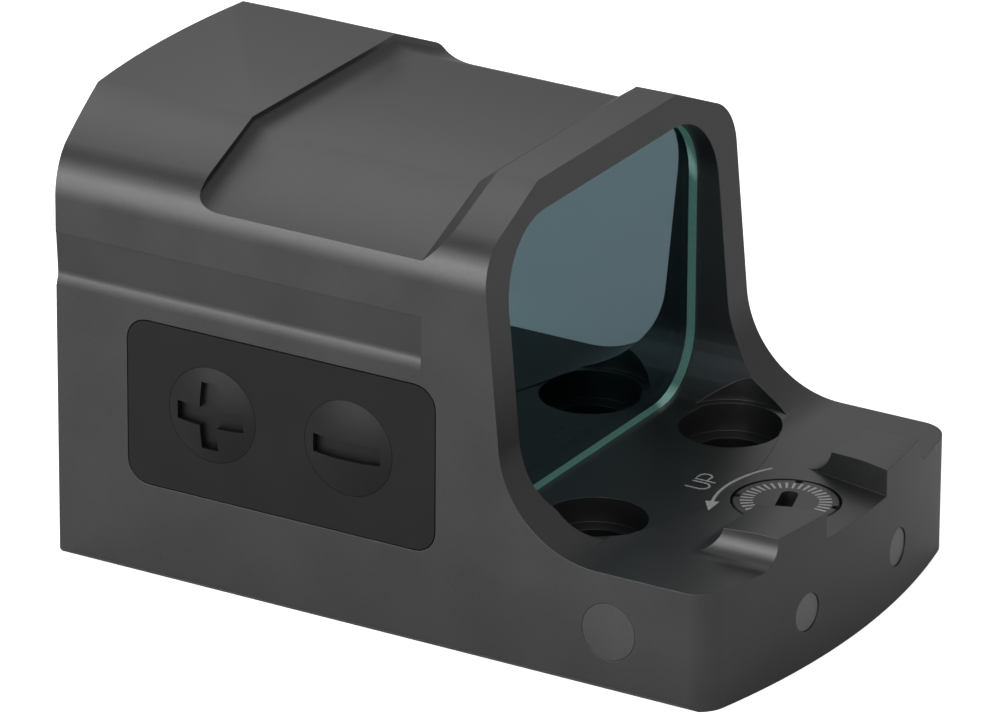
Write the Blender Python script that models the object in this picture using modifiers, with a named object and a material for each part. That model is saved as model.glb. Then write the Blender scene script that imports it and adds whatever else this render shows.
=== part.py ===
"""Enclosed micro reflex sight with its elevation and windage works, keypad and battery tray.

World frame: +Y is the objective end, +X the shooter's right, +Z up; the origin is the middle of the base.
Sizes are in millimetres, and MM turns them into metres. Outlines are lists of (a, b) in the plane across
an axis: (y, z) across x, (x, z) across y and (x, y) across z.
"""
import bpy
import bmesh
from math import sin, cos, tan, pi, hypot, radians, degrees, atan

MM = 0.001
GAP = 0.06             # around pieces that are seated for good
RUN = 0.10             # around pieces that slide or turn
OVER = 1.0             # how far a cutter runs past the face it opens

# ---------------------------------------------------------------- driving sizes
# stack from the rear face to the front face, on the centre line
DECK_RUN = 14.66       # open deck, up to the hood's edge
WINDOW_INSET = 0.69
WINDOW_T = 1.30
STOP_T = 0.49          # rubber stop in front of the rear window
POST_T = 0.60          # emitter post
POST_ROOM = 0.37       # from the post to the bay's end, where the emitter shines past
SLOT_WALL = 1.45       # wall between the works bay and the battery slot
CELL_R, CELL_T = 8.0, 2.0
CELL_ROOM = 0.65       # beside the cell, to the walls of its slot
NOSE = 3.92            # battery slot to the front face

# stack from the base to the deck
SLOT_FLOOR = 1.55
TRAY_FLOOR = 0.65
CONTACT_ROOM = 0.70    # above the cell
SLOT_ROOF = 1.28
DECK_STEP = 0.04       # light tunnel floor below the side decks

# housing
WIDTH = 25.0
HEIGHT = 23.7
ROOF_WALL = 1.60
INNER_WALL = 0.45      # left between the keypad pocket and the light tunnel
FRONT_BOW, REAR_BOW = 1.50, 1.67
REAR_CORNER = 1.72
BASE_CHAMFER = 0.25
TOP_FLAT = 13.76       # width of the flat roof
ROOF_FALL = 0.429      # fall of the roof's slopes, per mm
SHOULDER_R = 2.75
HOOD_RAKE = 0.094      # lean of the hood's rear face, per mm
SWOOP_R = 5.65         # concave arc from the hood to the deck
TUNNEL_TOP_R, TUNNEL_LOW_R = 4.0, 3.45
TUNNEL_TAIL = 7.13     # rear face to the end of the tunnel's floor
TUNNEL_SPREAD = 0.027  # how that end bows forwards towards the sides
FLARE = 0.62           # widening of the front opening
FLARE_RUN = 1.90
SCOOP_DEPTH = 0.75     # shallow scoop across the roof
SCOOP_SET = 2.34       # hood's edge to the scoop
SCOOP_RUN = 14.27
SCOOP_RAMP = 1.05
SCOOP_FILLET = 1.42
BAND_Z, BAND_H = 14.74, 2.9   # bare recessed band on the left side, from its ledge up
BAND_DEPTH = 0.26
BAND_SET = 3.33

# rear notch between two ears
EAR_RISE = 1.33        # above the deck
EAR_CROWN = 0.15
EAR_W_FRONT, EAR_W_REAR = 3.40, 4.15   # width of an ear's top
EAR_OUT = 7.25         # centre line to an ear's outer edge
EAR_SET = 3.70         # rear face to the crest of the front ramp
EAR_RAMP_R = 1.63
EAR_FOOT_R = 1.20

# mounting holes
HOLE_SPACING = 13.66
HOLE_SET = 11.22
HOLE_R, HOLE_DEPTH, SHANK_R = 2.68, 1.35, 1.75
SPOT_R, SPOT_RISE = 3.10, 0.20   # clearance cut into the hood; its ledge above the tunnel floor
LUG_R, LUG_DEPTH = 1.10, 0.95
LUG_X, LUG_SET = 8.60, 4.90

# elevation works
DIAL_SET = 4.15        # rear face to the dial's axis
DIAL_R, DIAL_T = 2.72, 0.95
DIAL_RING = 0.10       # gap round the dial
DIAL_WEB = 0.93        # floor under the dial
DIAL_SLOT_L, DIAL_SLOT_W, DIAL_SLOT_DEPTH = 2.60, 0.88, 0.75
DIAL_SLOT_TURN = 17    # degrees from the cross direction
NICK_R, NICK_DEPTH = 0.22, 0.45
NICK_SET, NICK_TURN = 0.14, 14   # inside the dial's edge; degrees
NUT_R = 0.85           # lifting screw of the dial
LIFT = 0.30            # travel up and down
CLIP_T = 0.16

# emitter carriage and block
BAY_W, BAY_SET, BAY_R = 7.2, 2.65, 0.8
CARRIAGE_H = 1.65
SHIFT = 0.30           # travel to each side
BLOCK_W, BLOCK_H = 4.10, 1.05
GUIDE_DEPTH = 0.83     # the windage slide's way in the carriage
GUIDE_END = 1.45       # windage axis to the way's rear end
POST_W, POST_RISE = 2.60, 1.02   # rise above the tunnel floor
LED_W, LED_T, LED_H = 1.10, 0.37, 0.60

# windage works
WIND_SET, WIND_Z = 7.15, 3.22
WIND_R, WIND_T = 2.04, 0.90
WIND_SLOT_L, WIND_SLOT_W, WIND_SLOT_DEPTH = 2.20, 0.80, 0.70
WIND_SCREW_R, WIND_NECK_R = 0.58, 0.42
WIND_BORE_R, WIND_CLIP_R = 0.80, 0.95
PLUG_R, PLUG_T, PLUG_FIT = 1.50, 1.11, 0.02
REAR_PLUG_X, REAR_PLUG_Z = 4.70, 2.92
REAR_PLUG_R, REAR_PLUG_T = 1.00, 0.78
REAR_PLUG_SINK = 0.08

# keypad on the left side
PAD_L, PAD_H, PAD_CORNER = 18.18, 9.01, 1.25
PAD_SET, PAD_Z = 11.54, 9.53   # from the hood's edge; height of the middle
PAD_T = 0.72
KEY_R, KEY_Z, KEY_SPACING = 2.55, 9.69, 8.02
KEY_PROUD = 0.45
KEY_TRAVEL = 0.35
KEY_RIM = 0.02
KEY_REST = 0.06        # key to switch at the end of its travel
SIGN_L, SIGN_H, SIGN_W, SIGN_DEPTH = 3.90, 3.60, 0.98, 0.34
SWITCH_R, SWITCH_T = 1.50, 0.20
PAD_BOARD_T = 0.17

# battery tray on the right side
DOOR_MARGIN = 2.0      # beyond the slot, fore and aft
DOOR_LIP = 0.60        # beyond the slot, above and below
DOOR_T, DOOR_PROUD = 1.10, 0.43
CELL_X = 3.0
CELL_WINDOW = 3.4      # half width of the opening below the cell
CONTACT_W, CONTACT_T = 4.2, 0.35
CONTACT_L, CONTACT_LEAF = 7.0, 0.24
SLOT_END = 6.60        # centre line to the slot's inner end
SEAL_W, SEAL_T = 0.34, 0.50
SCREW_SHANK, SCREW_HEAD = 0.39, 0.70
SCREW_SET = 9.72       # cell centre to each tray screw
SCREW_L = 4.10
GRIP_L, GRIP_H, GRIP_DEPTH = 6.8, 1.45, 0.55

# underside
COVER_MARGIN, COVER_END = 0.90, 1.58
COVER_T = 0.85
COVER_SHANK, COVER_HEAD = 0.33, 0.74
BOARD_T = 0.40

# ---------------------------------------------------------------- places worked out from them
HALF_W = WIDTH / 2
SLOT_W = 2 * (CELL_R + CELL_ROOM)
BAY_TO_WINDOW = GAP + STOP_T + GAP
LENGTH = (DECK_RUN + WINDOW_INSET + WINDOW_T + BAY_TO_WINDOW + RUN + POST_T + POST_ROOM
          + SLOT_WALL + SLOT_W + NOSE)
REAR_Y, FRONT_Y = -LENGTH / 2, LENGTH / 2
HOOD_Y = REAR_Y + DECK_RUN
WINDOW_Y0 = HOOD_Y + WINDOW_INSET
WINDOW_Y1 = WINDOW_Y0 + WINDOW_T
STOP_Y0 = WINDOW_Y1 + GAP
WELL_Y0 = STOP_Y0 + STOP_T + GAP
POST_Y0 = WELL_Y0 + RUN
POST_Y1 = POST_Y0 + POST_T
BAY_Y1 = POST_Y1 + POST_ROOM
SLOT_Y0 = BAY_Y1 + SLOT_WALL
SLOT_Y1 = SLOT_Y0 + SLOT_W
CELL_Y = (SLOT_Y0 + SLOT_Y1) / 2
CELL_Z = SLOT_FLOOR + RUN + TRAY_FLOOR
SLOT_TOP = CELL_Z + CELL_T + CONTACT_ROOM
FLOOR_Z = SLOT_TOP + SLOT_ROOF
DECK_Z = FLOOR_Z + DECK_STEP
PAD_DEPTH = PAD_T + KEY_TRAVEL + KEY_REST + SWITCH_T + GAP + PAD_BOARD_T
SIDE_WALL = PAD_DEPTH + INNER_WALL
TUNNEL_HALF = HALF_W - SIDE_WALL
TUNNEL_TOP = HEIGHT - ROOF_WALL
DIAL_Y = REAR_Y + DIAL_SET
HOLE_X, HOLE_Y = HOLE_SPACING / 2, REAR_Y + HOLE_SET
WIND_Y = REAR_Y + WIND_SET
BAY_Y0 = REAR_Y + BAY_SET
BAY_TOP = FLOOR_Z - DIAL_T - RUN - DIAL_WEB
CLIP_Z = BAY_TOP - RUN - CLIP_T
CARRIAGE_Z1 = CLIP_Z - RUN - LIFT
CARRIAGE_Z0 = CARRIAGE_Z1 - CARRIAGE_H
BOARD_Z = COVER_T + RUN
PAD_Y = HOOD_Y + PAD_SET
KEYS = {"plus": PAD_Y + KEY_SPACING / 2, "minus": PAD_Y - KEY_SPACING / 2}
PAD_BACK = -HALF_W + PAD_T
SIDES = {"right": 1, "left": -1}


def front_at(x):
    return FRONT_Y - FRONT_BOW * (x / HALF_W) ** 2


def rear_at(x):
    return REAR_Y + REAR_BOW * (x / HALF_W) ** 2


# ---------------------------------------------------------------- modelling tools
for old in list(bpy.data.objects):
    bpy.data.objects.remove(old, do_unlink=True)
parts = bpy.data.collections.new("enclosed_reflex_sight")
cutters = bpy.data.collections.new("cutters")
bpy.context.scene.collection.children.link(parts)
bpy.context.scene.collection.children.link(cutters)


def material(name, colour, metallic, roughness, transmission=0.0):
    m = bpy.data.materials.new(name)
    m.use_nodes = True
    shader = m.node_tree.nodes["Principled BSDF"]
    shader.inputs["Base Color"].default_value = (*colour, 1.0)
    shader.inputs["Metallic"].default_value = metallic
    shader.inputs["Roughness"].default_value = roughness
    shader.inputs["Transmission Weight"].default_value = transmission
    m.diffuse_color = (*colour, 1.0)
    return m


ALUMINIUM = material("anodised_aluminium", (0.055, 0.056, 0.060), 0.6, 0.45)
GLASS = material("optical_glass", (0.75, 0.90, 0.90), 0.0, 0.02, 1.0)
RUBBER = material("black_rubber", (0.020, 0.020, 0.022), 0.0, 0.60)
STEEL = material("steel", (0.35, 0.35, 0.36), 1.0, 0.35)
BLACK_STEEL = material("blackened_steel", (0.06, 0.06, 0.065), 0.8, 0.40)
BRASS = material("brass", (0.55, 0.40, 0.18), 1.0, 0.35)
BOARD = material("circuit_board", (0.02, 0.12, 0.05), 0.0, 0.50)
POLYMER = material("black_polymer", (0.030, 0.030, 0.032), 0.0, 0.50)
LED = material("led_package", (0.60, 0.05, 0.04), 0.0, 0.30)

TURNS = {"z": (0.0, 0.0, 0.0), "x": (pi / 2, 0.0, pi / 2), "y": (pi / 2, 0.0, 0.0)}


def place(name, data, mat, axis="z", at=(0.0, 0.0, 0.0)):
    """Link an object with its own z along the axis: a piece if it has a material, else a cutter."""
    obj = bpy.data.objects.new(name, data)
    obj.rotation_euler = TURNS[axis]
    obj.location = [c * MM for c in at]
    if mat:
        data.materials.append(mat)
        parts.objects.link(obj)
    else:
        cutters.objects.link(obj)
        obj.hide_render = True
        obj.display_type = 'WIRE'
    return obj


def to_mesh(name, bm):
    mesh = bpy.data.meshes.new(name)
    bm.to_mesh(mesh)
    bm.free()
    return mesh


def spot(axis, centre, height):
    a, b = centre
    return {"x": (height, a, b), "y": (a, height, b), "z": (a, b, height)}[axis]


def block(name, x, y, z, mat=None):
    """Box between two corners."""
    bm = bmesh.new()
    bmesh.ops.create_cube(bm, size=1.0)
    bmesh.ops.scale(bm, vec=[(b - a) * MM for a, b in (x, y, z)], verts=bm.verts)
    return place(name, to_mesh(name, bm), mat, at=[(a + b) / 2 for a, b in (x, y, z)])


def cylinder(name, r, axis, centre, lo, hi, mat=None, sides=32):
    bm = bmesh.new()
    bmesh.ops.create_cone(bm, cap_ends=True, segments=sides, radius1=r * MM, radius2=r * MM,
                          depth=(hi - lo) * MM)
    return place(name, to_mesh(name, bm), mat, axis, spot(axis, centre, (lo + hi) / 2))


def plate(name, outlines, axis, lo, hi, mat=None):
    """Flat outline with thickness; further outlines inside the first are holes."""
    curve = bpy.data.curves.new(name, 'CURVE')
    curve.dimensions = '2D'
    curve.fill_mode = 'BOTH'
    curve.extrude = (hi - lo) / 2 * MM
    for outline in outlines:
        spline = curve.splines.new('POLY')
        spline.points.add(len(outline) - 1)
        for point, (a, b) in zip(spline.points, outline):
            point.co = (a * MM, b * MM, 0.0, 1.0)
        spline.use_cyclic_u = True
    drawn = bpy.data.objects.new(name, curve)
    mesh = bpy.data.meshes.new_from_object(drawn)
    bpy.data.objects.remove(drawn)
    bm = bmesh.new()
    bm.from_mesh(mesh)
    bmesh.ops.remove_doubles(bm, verts=bm.verts, dist=1e-7)
    bmesh.ops.recalc_face_normals(bm, faces=bm.faces)
    bm.to_mesh(mesh)
    bm.free()
    mesh.shade_flat()
    return place(name, mesh, mat, axis, spot(axis, (0.0, 0.0), (lo + hi) / 2))


def turned(name, profile, axis, centre, mat=None, steps=48, ring=False):
    """Turned piece from (radius, place along the axis); a ring's profile closes clear of the axis."""
    side = -1 if axis == "y" else 1
    line = [(r, side * h) for r, h in profile]
    if not ring:
        line = [(0.0, line[0][1])] * (line[0][0] > 0) + line + [(0.0, line[-1][1])] * (line[-1][0] > 0)
    area = sum(p[0] * q[1] - q[0] * p[1] for p, q in zip(line, line[1:] + line[:1]))
    if area > 0:
        line.reverse()
    bm = bmesh.new()
    verts = [bm.verts.new((r * MM, 0.0, h * MM)) for r, h in line]
    for a, b in zip(verts, verts[1:] + verts[:1] * ring):
        bm.edges.new((a, b))
    obj = place(name, to_mesh(name, bm), mat, axis, spot(axis, centre, 0.0))
    screw = obj.modifiers.new("turn", 'SCREW')
    screw.axis = 'Z'
    screw.steps = screw.render_steps = steps
    screw.use_merge_vertices = True
    screw.merge_threshold = 1e-6
    screw.use_smooth_shade = False
    return obj


def loft(name, loops, mat=None):
    """Solid through unlike sections, each a loop of (x, y, z) of the same length."""
    bm = bmesh.new()
    rows = [[bm.verts.new([c * MM for c in point]) for point in loop] for loop in loops]
    for a, b in zip(rows, rows[1:]):
        for i in range(len(a)):
            bm.faces.new((a[i - 1], a[i], b[i], b[i - 1]))
    bm.faces.new(rows[0])
    bm.faces.new(rows[-1])
    bmesh.ops.recalc_face_normals(bm, faces=bm.faces)
    return place(name, to_mesh(name, bm), mat)


def spring(name, axis, centre, lo, hi, r, wire, turns, mat, around=10):
    """Coil spring: a wire along a helix."""
    curve = bpy.data.curves.new(name, 'CURVE')
    curve.dimensions = '3D'
    curve.bevel_depth = wire * MM
    curve.bevel_resolution = 1
    curve.use_fill_caps = True
    count = turns * around + 1
    spline = curve.splines.new('POLY')
    spline.points.add(count - 1)
    for k, point in enumerate(spline.points):
        turn = 2 * pi * k / around
        rise = (hi - lo - 2 * wire) * (k / (count - 1) - 0.5)
        point.co = (r * cos(turn) * MM, r * sin(turn) * MM, rise * MM, 1.0)
    return place(name, curve, mat, axis, spot(axis, centre, (lo + hi) / 2))


def boolean(obj, cutter, operation='DIFFERENCE'):
    modifier = obj.modifiers.new(cutter.name, 'BOOLEAN')
    modifier.operation = operation
    modifier.solver = 'EXACT'
    modifier.object = cutter


def arc(centre_a, centre_b, r, start, end, count):
    """Points from the start angle to the end angle, in degrees."""
    angles = [radians(start + (end - start) * k / count) for k in range(count + 1)]
    return [(centre_a + r * cos(t), centre_b + r * sin(t)) for t in angles]


def circle(centre_a, centre_b, r, count):
    return arc(centre_a, centre_b, r, 0, 360, count)[:-1]


def rounded(a0, a1, b0, b1, r, count=6):
    """Rectangle with round corners."""
    return (arc(a1 - r, b0 + r, r, -90, 0, count) + arc(a1 - r, b1 - r, r, 0, 90, count)
            + arc(a0 + r, b1 - r, r, 90, 180, count) + arc(a0 + r, b0 + r, r, 180, 270, count))


def slot(centre_a, centre_b, length, width, turn, count=8):
    """Milled slot with round ends."""
    reach = (length - width) / 2
    a, b = reach * cos(radians(turn)), reach * sin(radians(turn))
    return (arc(centre_a + a, centre_b + b, width / 2, turn - 90, turn + 90, count)
            + arc(centre_a - a, centre_b - b, width / 2, turn + 90, turn + 270, count))


def mirrored(right):
    """Whole outline from its right half, listed from the bottom up."""
    return right + [(-a, b) for a, b in reversed(right)]


def tunnel(grow=0.0, count=8):
    """Outline of the light tunnel, and of what fits in it."""
    half, top, floor = TUNNEL_HALF + grow, TUNNEL_TOP + grow, FLOOR_Z - grow
    low, high = TUNNEL_LOW_R + grow, TUNNEL_TOP_R + grow
    return mirrored(arc(half - low, floor + low, low, -90, 0, count)
                    + arc(half - high, top - high, high, 0, 90, count))


def pad_outline(grow=0.0):
    return rounded(PAD_Y - PAD_L / 2 - grow, PAD_Y + PAD_L / 2 + grow,
                   PAD_Z - PAD_H / 2 - grow, PAD_Z + PAD_H / 2 + grow, PAD_CORNER + grow)


def slot_outline(grow=0.0):
    return rounded(SLOT_Y0 - grow, SLOT_Y1 + grow, SLOT_FLOOR - grow, SLOT_TOP + grow,
                   0.5 + max(grow, -0.1), 4)


def door_outline(grow=0.0):
    return rounded(SLOT_Y0 - DOOR_MARGIN - grow, SLOT_Y1 + DOOR_MARGIN + grow,
                   SLOT_FLOOR - DOOR_LIP - grow, SLOT_TOP + DOOR_LIP + grow, 1.3 + grow)


# ---------------------------------------------------------------- housing
def section():
    """Cross section of the hood: chamfered foot, straight side, round shoulder, sloping roof."""
    slope = degrees(atan(ROOF_FALL))
    corner_z = HEIGHT - ROOF_FALL * (HALF_W - TOP_FLAT / 2)
    reach = SHOULDER_R * tan(radians(90 - slope) / 2)
    return mirrored([(HALF_W - BASE_CHAMFER, 0.0), (HALF_W, BASE_CHAMFER)]
                    + arc(HALF_W - SHOULDER_R, corner_z - reach, SHOULDER_R, 0, 90 - slope, 14)
                    + [(TOP_FLAT / 2, HEIGHT)])


def plan():
    """Plan of the housing: bowed ends, round rear corners."""
    wide = HALF_W + OVER
    front = [(wide * (1 - k / 14), front_at(wide * (1 - k / 14))) for k in range(29)]
    turn = atan(2 * REAR_BOW * (HALF_W - REAR_CORNER) / HALF_W ** 2)
    inner = HALF_W - REAR_CORNER + REAR_CORNER * sin(turn)
    centre_y = rear_at(inner) + REAR_CORNER * cos(turn)
    corner = arc(-HALF_W + REAR_CORNER, centre_y, REAR_CORNER, 180, 270 - degrees(turn), 10)
    rear = [(-inner * (1 - k / 13), rear_at(inner * (1 - k / 13))) for k in range(1, 26)]
    return (front + [(-wide, centre_y)] + corner + rear + [(-x, y) for x, y in reversed(corner)]
            + [(wide, centre_y)])


def swoop():
    """Side view of what is cleared above the deck: raked hood, concave arc, level deck."""
    lean = atan(HOOD_RAKE)
    join_z = DECK_Z + SWOOP_R * (1 - sin(lean))
    centre_y = HOOD_Y - HOOD_RAKE * (HEIGHT - join_z) - SWOOP_R * cos(lean)
    behind = REAR_Y - 2 * OVER
    return ([(HOOD_Y + HOOD_RAKE * OVER, HEIGHT + OVER)]
            + arc(centre_y, DECK_Z + SWOOP_R, SWOOP_R, -degrees(lean), -90, 26)
            + [(behind, DECK_Z), (behind, HEIGHT + OVER)])


def ear(side, tag):
    """One ear of the rear notch: its side view, its end view and its plan, all intersected."""
    root = DECK_Z - 0.6
    crest_y = REAR_Y + EAR_SET
    top = DECK_Z + EAR_RISE
    steep = degrees(2 * atan((EAR_RISE / EAR_RAMP_R / (2 - EAR_RISE / EAR_RAMP_R)) ** 0.5))
    foot_y = crest_y + EAR_RAMP_R * sin(radians(steep))
    ramp = arc(foot_y, DECK_Z + EAR_RAMP_R, EAR_RAMP_R, -90, -90 - steep, 9)
    behind = REAR_Y - OVER
    crown = [(crest_y + (behind - crest_y) * k / 8, top + EAR_CROWN * sin(pi * k / 8)) for k in range(1, 8)]
    name = "add_ear_" + tag
    solid = plate(name, [[(foot_y, root)] + ramp + crown + [(behind, top), (behind, root)]], "x",
                  min(0.0, side * HALF_W), max(0.0, side * HALF_W))
    outer = arc(EAR_OUT + EAR_FOOT_R, DECK_Z + EAR_FOOT_R, EAR_FOOT_R, -90, -180, 9)
    low = [(0.0, top + OVER), (0.0, root), (EAR_OUT + EAR_FOOT_R, root)]
    end_view = [(x * side, z) for x, z in low + outer + [(EAR_OUT, top + OVER)]]
    boolean(solid, plate("keep_end_" + tag, [end_view], "y", REAR_Y - 2 * OVER, crest_y + 2 * EAR_RAMP_R),
            'INTERSECT')
    inner_rear, inner_front = EAR_OUT - EAR_W_REAR, EAR_OUT - EAR_W_FRONT
    fall = (inner_front - inner_rear) / EAR_SET
    ahead = crest_y + 2 * EAR_RAMP_R
    plan_view = [(inner_rear - fall * OVER, behind), (inner_front + fall * 2 * EAR_RAMP_R, ahead),
                 (HALF_W, ahead), (HALF_W, behind)]
    plan_view = [(side * x, y) for x, y in plan_view]
    boolean(solid, plate("keep_plan_" + tag, [plan_view], "z", root - OVER, top + 2 * OVER), 'INTERSECT')
    return solid


def tunnel_cut():
    """The light tunnel, ending in a bowed line on the deck."""
    cut = plate("cut_tunnel", [tunnel()], "y", REAR_Y, FRONT_Y + OVER)
    wide = HALF_W + OVER
    xs = [wide * (k / 8 - 1) for k in range(17)]
    tail = [(x, REAR_Y + TUNNEL_TAIL + TUNNEL_SPREAD * x * x) for x in xs]
    ahead = FRONT_Y + 2 * OVER
    boolean(cut, plate("keep_tunnel", [tail + [(wide, ahead), (-wide, ahead)]], "z", 0.0, HEIGHT + OVER),
            'INTERSECT')
    return cut


def flare_cut():
    """Bell mouth of the front opening."""
    start = front_at(HALF_W) - 0.65
    loops = [[(x, start, z) for x, z in tunnel(-0.02)]]
    for k in range(6):
        t = k / 4
        loops.append([(x, start + 0.02 + FLARE_RUN * t, z) for x, z in tunnel(0.02 + FLARE * t ** 1.2)])
    return loft("cut_flare", loops)


def scoop_cut():
    """Scoop across the roof: a ramp at the rear, a level floor square to the slopes, a concave front wall."""
    def loop(y, depth):
        inner = TOP_FLAT / 2 - depth * (hypot(1, ROOF_FALL) - 1) / ROOF_FALL
        outer = HALF_W + OVER
        low = HEIGHT - depth - ROOF_FALL * (outer - inner)
        high = HEIGHT + 2 * OVER
        return [(outer, y, low), (outer, y, high), (-outer, y, high), (-outer, y, low),
                (-inner, y, HEIGHT - depth), (inner, y, HEIGHT - depth)]
    start = HOOD_Y + SCOOP_SET
    foot, wall = start + SCOOP_RAMP, start + SCOOP_RUN
    loops = [loop(start - 0.05, -0.035), loop(foot, SCOOP_DEPTH)]
    for k in range(9):
        turn = radians(90 * k / 8)
        loops.append(loop(wall - SCOOP_FILLET * (1 - sin(turn)),
                          SCOOP_DEPTH - 0.7 * SCOOP_DEPTH * (1 - cos(turn))))
    loops.append(loop(wall + 0.02, -0.30))
    return loft("cut_scoop", loops)


def band_cut():
    """Bare band on the left side: deepest at its lower ledge and fading out upwards."""
    side = -HALF_W
    wedge = [(side - OVER, BAND_Z - 0.34), (side, BAND_Z), (side + BAND_DEPTH, BAND_Z + 0.5),
             (side + BAND_DEPTH, BAND_Z + 0.86), (side + 0.05, BAND_Z + BAND_H),
             (side - OVER, BAND_Z + BAND_H + 0.2)]
    return plate("cut_band", [wedge], "y", HOOD_Y + BAND_SET, FRONT_Y + OVER)


def housing_forms():
    body = plate("housing", [section()], "y", REAR_Y - OVER, FRONT_Y + OVER, ALUMINIUM)
    boolean(body, plate("cut_swoop", [swoop()], "x", -HALF_W - OVER, HALF_W + OVER))
    for tag, side in SIDES.items():
        boolean(body, ear(side, tag), 'UNION')
    boolean(body, plate("keep_plan", [plan()], "z", -OVER, HEIGHT + OVER), 'INTERSECT')
    boolean(body, tunnel_cut())
    boolean(body, flare_cut())
    boolean(body, scoop_cut())
    boolean(body, band_cut())
    return body


def mounting_holes(body):
    seat, ledge = FLOOR_Z - HOLE_DEPTH, FLOOR_Z + SPOT_RISE
    for tag, side in SIDES.items():
        profile = [(SHANK_R, -OVER), (SHANK_R, seat), (HOLE_R, seat), (HOLE_R, ledge),
                   (SPOT_R, ledge), (SPOT_R, DECK_Z + SWOOP_R)]
        boolean(body, turned("cut_hole_" + tag, profile, "z", (side * HOLE_X, HOLE_Y)))
        for end, y in (("front", FRONT_Y - LUG_SET), ("rear", REAR_Y + LUG_SET)):
            boolean(body, cylinder("cut_lug_%s_%s" % (end, tag), LUG_R, "z", (side * LUG_X, y), -OVER,
                                   LUG_DEPTH))


# ---------------------------------------------------------------- optics
def frame(name, inner, y0, y1, mat):
    return plate(name, [tunnel(-GAP), tunnel(-inner)], "y", y0, y1, mat)


def optics():
    plate("rear_window", [tunnel(-2 * GAP)], "y", WINDOW_Y0, WINDOW_Y1, GLASS)
    frame("rear_window_stop", 0.75, STOP_Y0, STOP_Y0 + STOP_T, RUBBER)
    edge_t, swell, ring_t = 2.0, 0.65, 0.65
    back = FRONT_Y - 5.55
    outline = tunnel(-2 * GAP)
    middle = (TUNNEL_TOP + FLOOR_Z) / 2
    loops = [[(x, back, z) for x, z in outline], [(x, back + edge_t, z) for x, z in outline]]
    for k in range(1, 7):
        shrink = 1 - k / 7
        loops.append([(x * shrink, back + edge_t + swell * (1 - shrink ** 2),
                       middle + (z - middle) * shrink)
                      for x, z in outline])
    loft("front_lens", loops, GLASS)
    frame("front_ring", 0.95, back + edge_t + swell + GAP, back + edge_t + swell + GAP + ring_t, ALUMINIUM)


# ---------------------------------------------------------------- keypad
def keypad(body):
    floor = -HALF_W + PAD_DEPTH
    boolean(body, plate("cut_pad", [pad_outline()], "x", -HALF_W - OVER, floor))
    holes = [circle(y, KEY_Z, KEY_R + KEY_RIM, 48) for y in KEYS.values()]
    plate("keypad_pad", [pad_outline(-GAP)] + holes, "x", -HALF_W, PAD_BACK, RUBBER)
    board_x = floor - 0.03 - PAD_BOARD_T
    plate("keypad_board", [pad_outline(-0.25)], "x", board_x, board_x + PAD_BOARD_T, BOARD)
    ball = (KEY_R ** 2 + KEY_PROUD ** 2) / (2 * KEY_PROUD)
    middle = -HALF_W - KEY_PROUD + ball
    edge = degrees(atan(KEY_R / (ball - KEY_PROUD)))
    for tag, y in KEYS.items():
        dome = [(r, middle - h) for r, h in arc(0.0, 0.0, ball, 90, 90 - edge, 7)]
        key = turned(tag + "_button", dome + [(KEY_R, PAD_BACK)], "x", (y, KEY_Z), RUBBER)
        reach = (-HALF_W - KEY_PROUD - OVER, PAD_BACK)
        bars = [block("cut_%s_bar" % tag, reach, (y - SIGN_L / 2, y + SIGN_L / 2),
                      (KEY_Z - SIGN_W / 2, KEY_Z + SIGN_W / 2))]
        if tag == "plus":
            bars.append(block("cut_plus_stem", reach, (y - SIGN_W / 2, y + SIGN_W / 2),
                              (KEY_Z - SIGN_H / 2, KEY_Z + SIGN_H / 2)))
        floor_dome = [(r, middle - h) for r, h in arc(0.0, 0.0, ball - SIGN_DEPTH, 90, 85 - edge, 7)]
        floor_r = floor_dome[-1][0]
        for bar in bars:
            boolean(bar, turned("keep_floor_of_" + bar.name, floor_dome + [(floor_r, PAD_BACK + OVER)], "x",
                                (y, KEY_Z)))
            boolean(key, bar)
        back = board_x - GAP
        tip = PAD_BACK + KEY_TRAVEL + KEY_REST
        turned(tag + "_switch", [(SWITCH_R, back), (SWITCH_R, back - SWITCH_T / 2), (SWITCH_R * 0.6, tip)],
               "x",
               (y, KEY_Z), STEEL, steps=28)


# ---------------------------------------------------------------- elevation works
def elevation(body):
    axis = (0.0, DIAL_Y)
    head = FLOOR_Z + 0.02
    under = head - DIAL_T
    seat = under - RUN
    shank, neck = 1.20, 0.66
    boolean(body, turned("cut_dial", [(shank + RUN, BAY_TOP - OVER), (shank + RUN, seat),
                                      (DIAL_R + DIAL_RING, seat),
                                      (DIAL_R + DIAL_RING, DECK_Z + EAR_RISE)], "z", axis))
    foot = CARRIAGE_Z0 - LIFT - 0.05
    profile = [(NUT_R - 0.15, foot), (NUT_R, foot + 0.15), (NUT_R, CLIP_Z - 0.03), (neck, CLIP_Z - 0.03),
               (neck, CLIP_Z + CLIP_T + 0.03), (shank, CLIP_Z + CLIP_T + 0.03), (shank, under),
               (DIAL_R, under),
               (DIAL_R, head - 0.08), (DIAL_R - 0.08, head)]
    dial = turned("elevation_dial", profile, "z", axis, BLACK_STEEL, steps=56)
    drive = slot(0.0, DIAL_Y, DIAL_SLOT_L, DIAL_SLOT_W, DIAL_SLOT_TURN)
    boolean(dial, plate("cut_dial_slot", [drive], "z", head - DIAL_SLOT_DEPTH, head + OVER))
    for k in range(4):
        turn, r = radians(NICK_TURN + 90 * k), DIAL_R - NICK_SET
        boolean(dial, cylinder("cut_dial_nick_%d" % k, NICK_R, "z", (r * cos(turn), DIAL_Y + r * sin(turn)),
                               head - NICK_DEPTH, head + OVER, sides=12))
    turned("elevation_clip", [(neck + 0.08, CLIP_Z), (1.45, CLIP_Z), (1.45, CLIP_Z + CLIP_T),
                              (neck + 0.08, CLIP_Z + CLIP_T)], "z", axis, STEEL, steps=32, ring=True)


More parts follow.
